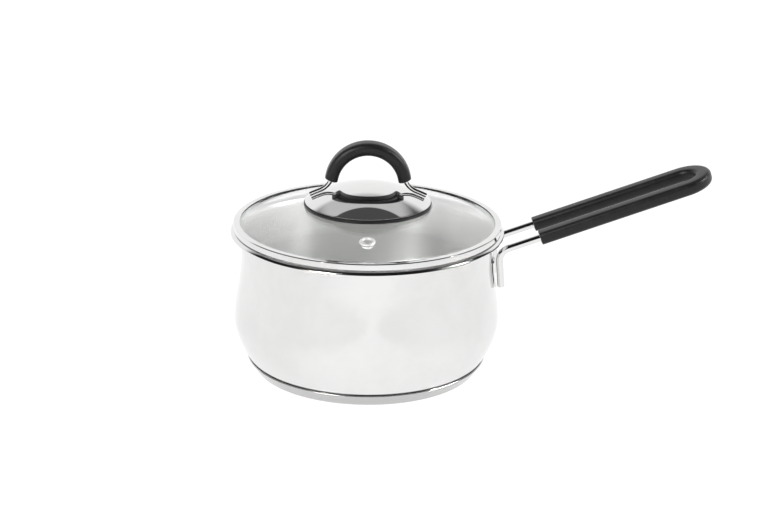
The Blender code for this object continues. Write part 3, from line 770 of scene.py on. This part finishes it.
def build_cap(pan):
    """The steel cap around the base, brushed underneath."""
    seam_height = pan.heel_height - pan.seam_drop
    seam_radius = wall_radius(pan, pan.heel_height) + FIT + pan.cap_sheet
    lean = math.degrees(math.atan2(seam_height, seam_radius - pan.foot_radius))
    fillet_centre = (pan.foot_radius - pan.foot_fillet, pan.foot_fillet)
    path = [(0.0, 0.0)] + between((0.0, 0.0), (fillet_centre[0], 0.0), 16)
    path += arc(fillet_centre, pan.foot_fillet, -90, lean - 90, 8)
    top = (seam_radius, seam_height)
    path += between(path[-1], top, 5) + [top]
    inside = offset_path(path, pan.cap_sheet)
    edge = (Vector(path[-1]) + Vector(inside[-1])) / 2 + Vector((0.0, 0.00018))
    outline = path + [tuple(edge)] + inside[::-1]
    flat = pan.foot_radius - pan.foot_fillet * 1.05
    return turned("pan_base_cap", outline, [cap_finish(), underside_finish()],
                  pan.sides, second=lambda number, span: max(p[0] for p in span) < flat)


# The long handle

def leg_place(pan, handle, height):
    """Distance of a leg's centre from the pan's axis, at a height."""
    return wall_radius(pan, height) + FIT + handle.plate_sheet + FIT + handle.wire_radius


def arm_line(pan, handle):
    """Where leg and arm lines cross, and a function for the arms' height."""
    reach = math.sqrt(leg_place(pan, handle, handle.elbow_height) ** 2 - (handle.spacing / 2) ** 2)
    return reach, lambda x: handle.elbow_height + (x - reach) * math.tan(handle.rise)


def build_handle_wire(pan, handle, look):
    """The bent wire: two legs, two arms and the loop that joins them."""
    half = handle.spacing / 2
    elbow, height = arm_line(pan, handle)
    foot = math.sqrt(leg_place(pan, handle, handle.leg_foot) ** 2 - half ** 2)
    stations = [(foot, handle.leg_foot), (elbow, handle.elbow_height),
                (handle.reach, height(handle.reach))]
    corners = [Vector((x, -half, z)) for x, z in stations]
    corners += [Vector((x, half, z)) for x, z in stations[::-1]]
    loop = half - CRUMB
    path = rounded_path(corners, (handle.bend, loop, loop, handle.bend), (16, 24, 24, 16))
    return wire("handle_wire", path, handle.wire_radius, Vector((0.0, 1.0, 0.0)),
                crisp_finish(look))


def build_handle_sleeve(pan, handle, look):
    """The long silicone sleeve around arms and loop."""
    half = handle.spacing / 2
    height = arm_line(pan, handle)[1]
    stations = [(handle.sleeve_start, height(handle.sleeve_start)),
                (handle.reach, height(handle.reach))]
    corners = [Vector((x, -half, z)) for x, z in stations]
    corners += [Vector((x, half, z)) for x, z in stations[::-1]]
    loop = half - CRUMB
    path = rounded_path(corners, (loop, loop), (28, 28))
    up = Vector((-math.sin(handle.rise), 0.0, math.cos(handle.rise)))
    return sleeve("handle_sleeve", path, up,
                  (handle.sleeve_width, handle.sleeve_height, handle.sleeve_corner),
                  handle.sleeve_edge, handle.wire_radius + SLEEVE_FIT, silicone_finish(look))


def build_bracket(pan, handle, look):
    """The curved plate between the pan's wall and the legs."""
    half_width = handle.spacing / 2 + handle.plate_margin
    corner = handle.plate_corner
    middle = (BRACKET_LOW + BRACKET_HIGH) / 2
    half_height = (BRACKET_HIGH - BRACKET_LOW) / 2
    turns = [math.radians(90 * k / 8) for k in range(9)]
    rows = [(-half_height + corner * (1 - math.cos(t)), half_width - corner * (1 - math.sin(t)))
            for t in turns]
    rows += [(0.0, half_width)] + [(-z, w) for z, w in rows[::-1]]
    columns = 24
    mesh = bmesh.new()
    layers = []
    for gap in (FIT, FIT + handle.plate_sheet):
        layer = []
        for z, w in rows:
            radius = wall_radius(pan, middle + z) + gap
            line = []
            for k in range(columns + 1):
                y = w * (2 * k / columns - 1)
                line.append(mesh.verts.new((math.sqrt(radius ** 2 - y ** 2), y, middle + z)))
            layer.append(line)
        layers.append(layer)
        for low, high in zip(layer, layer[1:]):
            for k in range(columns):
                mesh.faces.new((low[k], low[k + 1], high[k + 1], high[k]))
    rims = [layer[0] + [line[-1] for line in layer[1:]] + layer[-1][-2::-1]
            + [line[0] for line in layer[-2:0:-1]] for layer in layers]
    skin(mesh, *rims)
    plate = add_piece("handle_plate", mesh, [crisp_finish(look)])
    bevel = plate.modifiers.new("Edge", "BEVEL")
    bevel.width = 0.00018
    bevel.segments = 2
    bevel.limit_method = "ANGLE"
    bevel.angle_limit = math.radians(50)
    return plate


# The lid

def lid_frame(lid):
    """The lid's turn on the pan."""
    return Matrix.Rotation(lid.swing, 4, "Z")


def glass_shape(lid):
    """Edge radius, thickness, top height of the flat edge, and sphere radius of the dome."""
    radius = lid.band_radius - lid.band_sheet - GLASS_FIT
    thick = BAND_HIGH - BAND_LOW - 2 * (lid.band_sheet + GLASS_FIT)
    edge_top = BAND_HIGH - lid.band_sheet - GLASS_FIT
    span = radius - lid.glass_edge
    ball = (span ** 2 + lid.dome_rise ** 2) / (2 * lid.dome_rise)
    return radius, thick, edge_top, ball


def dome_height(lid, distance_out):
    """Height of the glass's upper face at a distance from the axis."""
    _, _, edge_top, ball = glass_shape(lid)
    return edge_top + lid.dome_rise - ball + math.sqrt(ball ** 2 - distance_out ** 2)


def vent_frame(lid):
    """The vent's frame on the glass: upper face at its origin, +Z square to the glass."""
    slope = math.asin(lid.vent_place / glass_shape(lid)[3])
    spot = Matrix.Translation((0.0, -lid.vent_place, dome_height(lid, lid.vent_place)))
    return lid_frame(lid) @ spot @ Matrix.Rotation(slope, 4, "X")


def build_glass(lid, knob, look):
    """The domed glass with its flat edge, and holes for screw and vent."""
    radius, thick, edge_top, ball = glass_shape(lid)
    span = radius - lid.glass_edge
    hole = knob.collar_radius + FIT
    rows = 46
    upper = [(hole + (span - hole) * i / rows) for i in range(rows)]
    path = [(r, dome_height(lid, r)) for r in upper]
    knee = math.degrees(math.asin(span / ball))
    knee_radius = 0.012
    reach = knee_radius * math.tan(math.radians(knee) / 2)
    path = [p for p in path if p[0] < span - reach]
    centre = (span + reach, edge_top + knee_radius)
    path += arc(centre, knee_radius, -90 - knee, -90, 6)
    path += between(path[-1], (radius, edge_top), 3) + [(radius, edge_top)]
    outline = round_corners(path + offset_path(path, -thick)[::-1], 0.0007, 5)
    pane = turned("lid_pane", outline, [shared("tempered_glass", clear_glass, look)], 192,
                  lid_frame(lid))
    bore = lid.vent_bore + lid.vent_tube + FIT
    depth = 2 * thick
    plug = [(0.0, -depth), (bore, -depth), (bore, depth), (0.0, depth)]
    carve(pane, turned("vent_plug", plug, [], 48, vent_frame(lid)))
    return pane


def build_band(lid, look):
    """The steel band rolled around the glass's edge."""
    outer = lid.band_fillet
    inner = outer - lid.band_sheet
    side = lid.band_radius - outer
    low = BAND_LOW
    high = BAND_HIGH
    sheet = lid.band_sheet
    path = [(lid.band_radius - lid.lower_ledge, low), (side - BAND_SHOULDER, low)]
    path += arc((side, low + outer), outer, -90, 0, 8)
    path += between(path[-1], (lid.band_radius, high - outer), 4)
    path += arc((side, high - outer), outer, 0, 90, 8)
    path += [(side - BAND_SHOULDER, high), (lid.band_radius - lid.top_ledge, high)]
    back = [(lid.band_radius - lid.top_ledge, high - sheet), (side - BAND_SHOULDER, high - sheet)]
    back += arc((side, high - outer), inner, 90, 0, 6)
    back += arc((side, low + outer), inner, 0, -90, 6)
    back += [(side - BAND_SHOULDER, low + sheet), (lid.band_radius - lid.lower_ledge, low + sheet)]
    outline = round_corners(path + back, 0.00013, 3)
    return turned("lid_rim", outline, [crisp_finish(look)], 192, lid_frame(lid))


def build_vent(lid):
    """The rolled steel eyelet in the glass."""
    tube = lid.vent_bore + lid.vent_tube
    middle = (lid.vent_bore + lid.vent_flange) / 2
    half = (lid.vent_flange - lid.vent_bore) / 2
    foot = -glass_shape(lid)[1] - FIT
    flare = tube + lid.vent_flare
    steps = 14
    bead = [(middle + half * math.cos(math.pi * k / steps),
             FIT + lid.vent_bead * math.sin(math.pi * k / steps) ** 0.8) for k in range(steps + 1)]
    outline = [(tube, FIT)] + bead
    outline += [(lid.vent_bore, foot - lid.vent_tube), (flare, foot - lid.vent_tube), (flare, foot),
                (tube, foot)]
    outline = round_corners(outline, 0.00012, 3)
    return turned("lid_vent", outline, [eyelet_finish()], 64, vent_frame(lid))


# The knob

def plate_ball(knob):
    """Radius of the cover plate's upper sphere."""
    return (knob.plate_radius ** 2 + knob.plate_rise ** 2) / (2 * knob.plate_rise)


def build_plate(lid, knob, look):
    """The domed cover plate with its rounded edge."""
    ball = plate_ball(knob)
    edge = math.degrees(math.asin(knob.plate_radius / ball))
    path = arc((0.0, PLATE_TOP - ball), ball, 90, 90 - edge, 48)
    path[0] = (0.0, PLATE_TOP)
    outline = path + offset_path(path, -knob.plate_sheet)[::-1]
    outline = round_corners(outline, 0.00028, 4)
    return turned("knob_plate", outline, [crisp_finish(look)], 160, lid_frame(lid))


def build_gasket(lid, knob, look):
    """The silicone ring under the plate's edge."""
    outside = knob.plate_radius + knob.gasket_overhang
    inside = outside - knob.gasket_width
    ring = [(inside, dome_height(lid, inside) + FIT), (outside, dome_height(lid, outside) + FIT),
            (outside, GASKET_TOP), (inside, GASKET_TOP)]
    return turned("knob_gasket", round_corners(ring, 0.00045, 5), [gasket_finish(look)], 160,
                  lid_frame(lid))


def arch_lines(knob):
    """Centre lines in the arch's plane: the whole wire, and the part that the sleeve covers."""
    foot_ball = plate_ball(knob) + FIT + knob.wire_radius
    ball_height = PLATE_TOP - plate_ball(knob)
    arch_height = PLATE_TOP + knob.arch_lift
    rise = arch_height - ball_height
    sum_foot = foot_ball + knob.foot_flare
    sum_arch = knob.arch_radius + knob.foot_flare
    above = (sum_foot ** 2 - sum_arch ** 2 - rise ** 2) / (2 * rise)
    turn_centre = (math.sqrt(sum_arch ** 2 - above ** 2), arch_height + above)
    spring = math.degrees(math.asin(above / sum_arch))
    land = math.degrees(math.asin(turn_centre[0] / sum_foot))
    tip = math.degrees(math.asin(knob.foot_reach / foot_ball))
    tail_angle = math.degrees(knob.sleeve_tail)
    crown = arc((0.0, arch_height), knob.arch_radius, 90, spring, 30)
    tail = arc(turn_centre, knob.foot_flare, 180 + spring, 180 + spring + tail_angle, 4)[1:]
    bend = arc(turn_centre, knob.foot_flare, 180 + spring + tail_angle, 270 - land, 14)[1:]
    foot = arc((0.0, ball_height), foot_ball, 90 - land, 90 - tip, 6)[1:]
    return mirrored(crown + tail + bend + foot), mirrored(crown + tail)


def mirrored(half):
    """A path in the arch's plane from its right half, apex first."""
    right = [Vector((x, 0.0, z)) for x, z in half]
    left = [Vector((-x, 0.0, z)) for x, z in half[1:]]
    return left[::-1] + right


def build_arch(lid, knob, look):
    """The wire arch."""
    whole = arch_lines(knob)[0]
    return wire("knob_wire", whole, knob.wire_radius, Vector((0.0, 1.0, 0.0)), crisp_finish(look),
                20, lid_frame(lid))


def build_arch_sleeve(lid, knob, look):
    """The silicone sleeve over the arch."""
    covered = arch_lines(knob)[1]
    return sleeve("knob_sleeve", covered, Vector((0.0, 1.0, 0.0)),
                  (knob.sleeve_thick, knob.sleeve_depth, knob.sleeve_corner), knob.sleeve_edge,
                  knob.wire_radius + SLEEVE_FIT, silicone_finish(look), lid_frame(lid))


def build_clamp(lid, knob, look):
    """Seal, washer and screw under the glass."""
    place = lid_frame(lid)
    bore = knob.screw_radius + FIT
    low, high = SEAL_BOX[0][2], SEAL_BOX[1][2]
    wide = (SEAL_BOX[1][0] - SEAL_BOX[0][0]) / 2
    shoulder = low + SEAL_SHOULDER
    ring = [(bore, low), (wide, low), (wide, shoulder), (knob.collar_radius, shoulder),
            (knob.collar_radius, high), (bore, high)]
    seal = turned("knob_seal", round_corners(ring, 0.00025, 3), [gasket_finish(look)], 64, place)
    low, high = WASHER_BOX[0][2], WASHER_BOX[1][2]
    wide = (WASHER_BOX[1][0] - WASHER_BOX[0][0]) / 2
    ring = [(bore, low), (wide, low), (wide, high), (bore, high)]
    washer = turned("knob_washer", round_corners(ring, 0.00022, 3), [crisp_finish(look)], 64, place)
    foot, top = SCREW_BOX[0][2], SCREW_BOX[1][2]
    head_top = low - FIT
    crown = arc((0.0, foot + CROWN_RADIUS), CROWN_RADIUS, -90, -60, 8)
    crown = [(r, z) for r, z in crown if r < knob.head_radius - 0.0008]
    crown[0] = (0.0, foot)
    outline = crown + [(knob.head_radius, foot + HEAD_RIM), (knob.head_radius, head_top),
                       (knob.screw_radius, head_top), (knob.screw_radius, top), (0.0, top)]
    screw = turned("knob_bolt", round_corners(outline, 0.0003, 4), [crisp_finish(look)], 64, place)
    return seal, washer, screw


# Operators

def fit_in(piece, body, node):
    """Fasten a piece to its body, in the place of a CAD node, and hide that node."""
    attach(piece, body)
    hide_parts(node)


def groups(context):
    """The property groups, in a fixed order."""
    scene = context.scene
    return scene.saucepan_pan, scene.saucepan_handle, scene.saucepan_lid, scene.saucepan_knob, \
        scene.saucepan_finishes


class SAUCEPAN_OT_pan(bpy.types.Operator):
    """Builds the pan's shell and the cap around its base"""

    bl_idname = "saucepan.pan"
    bl_label = "Pan"

    def execute(self, context):
        pan, _, _, _, look = groups(context)
        fit_in(build_shell(pan, look), "pan", "pot_body")
        fit_in(build_cap(pan), "pan", "base_cap")
        dress(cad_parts["base_core"],
              shared("core_aluminium", brushed_steel, 0.34, tuple(look.aluminium), 0.08))
        return {"FINISHED"}


class SAUCEPAN_OT_handle(bpy.types.Operator):
    """Builds the long handle: bracket, wire and sleeve"""

    bl_idname = "saucepan.handle"
    bl_label = "Long Handle"

    def execute(self, context):
        pan, handle, _, _, look = groups(context)
        fit_in(build_bracket(pan, handle, look), "pan", "handle_bracket")
        fit_in(build_handle_wire(pan, handle, look), "pan", "handle_rod")
        fit_in(build_handle_sleeve(pan, handle, look), "pan", "handle_grip")
        return {"FINISHED"}


class SAUCEPAN_OT_lid(bpy.types.Operator):
    """Builds the lid's glass, its band and its vent"""

    bl_idname = "saucepan.lid"
    bl_label = "Glass Lid"

    def execute(self, context):
        _, _, lid, knob, look = groups(context)
        fit_in(build_glass(lid, knob, look), "lid", "lid_glass")
        fit_in(build_band(lid, look), "lid", "lid_band")
        fit_in(build_vent(lid), "lid", "vent_eyelet")
        return {"FINISHED"}


class SAUCEPAN_OT_knob(bpy.types.Operator):
    """Builds the cover plate, its gasket, the arch and what clamps them"""

    bl_idname = "saucepan.knob"
    bl_label = "Lid Knob"

    def execute(self, context):
        _, _, lid, knob, look = groups(context)
        fit_in(build_plate(lid, knob, look), "lid", "rosette")
        fit_in(build_gasket(lid, knob, look), "lid", "rosette_gasket")
        fit_in(build_arch(lid, knob, look), "lid", "lid_handle_rod")
        fit_in(build_arch_sleeve(lid, knob, look), "lid", "lid_handle_grip")
        seal, washer, screw = build_clamp(lid, knob, look)
        for piece, node, slot in ((seal, "screw_seal", "black_silicone"),
                                  (washer, "screw_washer", "polished_steel"),
                                  (screw, "knob_screw", "polished_steel")):
            fit_in(piece, "lid", node)
        dress(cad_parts["rosette_nut"], underside_finish())
        return {"FINISHED"}


def dress(node, material):
    """Give a CAD node one finish."""
    for place in node.material_slots:
        place.link = "OBJECT"
        place.material = material


class SAUCEPAN_OT_studio(bpy.types.Operator):
    """Sets up the floor, the light and the camera"""

    bl_idname = "saucepan.studio"
    bl_label = "Studio"

    def execute(self, context):
        studio = context.scene.saucepan_studio
        lay_floor(studio)
        paint_sky(context.scene, studio)
        hang_lights(studio)
        place_camera(context.scene, studio)
        context.scene.view_settings.view_transform = "Standard"
        return {"FINISHED"}


def lay_floor(studio):
    """A wide plain floor under the pan."""
    mesh = bmesh.new()
    corners = [(-FLOOR_REACH, -FLOOR_REACH), (FLOOR_REACH, -FLOOR_REACH),
               (FLOOR_REACH, FLOOR_REACH), (-FLOOR_REACH, FLOOR_REACH)]
    mesh.faces.new([mesh.verts.new((x, y, -FLOOR_GAP)) for x, y in corners])
    floor = add_piece("floor", mesh, [floor_paint("floor_paint", studio)])


def paint_sky(scene, studio):
    """White around the horizon and high at the back, dark above and before the object."""
    world = bpy.data.worlds.new("studio")
    scene.world = world
    sky = Recipe(world)
    heading = sky.node("ShaderNodeTexCoord", "Generated")
    x, y, z = sky.parts(heading)
    height = sky.maths("MAXIMUM", z, 0.02)
    over_x = x / height
    over_y = y / height
    level = (x * x + y * y) ** 0.5
    backness = y / sky.maths("MAXIMUM", level, 0.01)
    ring = sky.slide(z, *HORIZON)
    spot = (over_x * over_x + (over_y + SPOT_PLACE) * (over_y + SPOT_PLACE)) ** 0.5
    clear_of_spot = sky.slide(spot, *SPOT_REACH)
    back = sky.slide(backness, 0.45, 0.66)
    rear_wall = sky.slide(over_y, 0.70, 1.45)
    middle_box = sky.slide(sky.maths("ABSOLUTE", over_x), 0.80, 0.42) * 0.60
    lit = clear_of_spot * back * sky.maths("MAXIMUM", rear_wall, middle_box)
    glow = sky.maths("MAXIMUM", ring, lit)
    dim = studio.dark + (1.0 - clear_of_spot) * sky.slide(over_y, -0.05, 0.25) * 0.07
    light = dim + glow * (studio.white - dim)
    background = sky.node("ShaderNodeBackground",
                          sockets={"Color": sky.vector(light, light, light), "Strength": 1.0})
    sky.node("ShaderNodeOutputWorld", None, sockets={"Surface": background})


def hang_lights(studio):
    """A broad soft light from above that mirrors don't show, and two narrower ones in front."""
    lamps = (("broad_light", studio.floor_light, BROAD_LIGHT, False),
             ("left_light", studio.left_light, LEFT_LIGHT, True),
             ("right_light", studio.right_light, RIGHT_LIGHT, True))
    for name, strength, (spread, lean, swing), in_mirrors in lamps:
        lamp = bpy.data.lights.new(name, "SUN")
        lamp.energy = strength
        lamp.angle = math.radians(spread)
        lamp.cycles.use_multiple_importance_sampling = False
        holder = bpy.data.objects.new(name, lamp)
        turning = Matrix.Rotation(math.radians(swing), 4, "Z")
        holder.matrix_world = turning @ Matrix.Rotation(math.radians(-lean), 4, "X")
        holder.visible_glossy = in_mirrors
        bpy.context.scene.collection.objects.link(holder)


def place_camera(scene, studio):
    """The camera, a little above the pan and almost square to its handle."""
    lens = bpy.data.cameras.new("camera")
    lens.lens = studio.focal
    lens.sensor_width = 36.0
    lens.clip_start = 0.01
    lens.clip_end = 50.0
    camera = bpy.data.objects.new("camera", lens)
    yaw, pitch, roll = CAMERA_TURN
    ahead = Vector((math.sin(yaw) * math.cos(pitch), math.cos(yaw) * math.cos(pitch),
                    -math.sin(pitch)))
    right = Vector((math.cos(yaw), -math.sin(yaw), 0.0))
    up = right.cross(ahead)
    right, up = (right * math.cos(roll) + up * math.sin(roll),
                 up * math.cos(roll) - right * math.sin(roll))
    axes = Matrix((right, up, -ahead)).transposed().to_4x4()
    spot = Matrix.Translation(CAMERA_PLACE)
    camera.matrix_world = Matrix.Rotation(CAMERA_SWING, 4, "Z") @ spot @ axes
    scene.collection.objects.link(camera)
    scene.camera = camera


class SAUCEPAN_PT_panel(bpy.types.Panel):
    """Lists the saucepan's pieces and sizes"""

    bl_label = "Saucepan"
    bl_idname = "SAUCEPAN_PT_panel"
    bl_space_type = "VIEW_3D"
    bl_region_type = "UI"
    bl_category = "Saucepan"

    def draw(self, context):
        layout = self.layout
        for operator in OPERATORS:
            layout.operator(operator.bl_idname)
        for holder, group in GROUPS.items():
            box = layout.box()
            box.label(text=group.__doc__)
            for name in group.__annotations__:
                box.prop(getattr(context.scene, holder), name)


GROUPS = {
    "saucepan_pan": PanSizes,
    "saucepan_handle": HandleSizes,
    "saucepan_lid": LidSizes,
    "saucepan_knob": KnobSizes,
    "saucepan_finishes": Finishes,
    "saucepan_studio": StudioLook,
}
OPERATORS = (SAUCEPAN_OT_pan, SAUCEPAN_OT_handle, SAUCEPAN_OT_lid, SAUCEPAN_OT_knob,
             SAUCEPAN_OT_studio)
CLASSES = (*GROUPS.values(), *OPERATORS, SAUCEPAN_PT_panel)


def register():
    """Register every class and hang the property groups on the scene."""
    for item in CLASSES:
        bpy.utils.register_class(item)
    for holder, group in GROUPS.items():
        setattr(bpy.types.Scene, holder, PointerProperty(type=group))


def unregister():
    """Undo register."""
    for holder in GROUPS:
        delattr(bpy.types.Scene, holder)
    for item in reversed(CLASSES):
        bpy.utils.unregister_class(item)


def main():
    """Register the classes and build everything in order."""
    register()
    for operator in OPERATORS:
        group, name = operator.bl_idname.split(".")
        getattr(getattr(bpy.ops, group), name)()


if __name__ == "__main__":
    main()
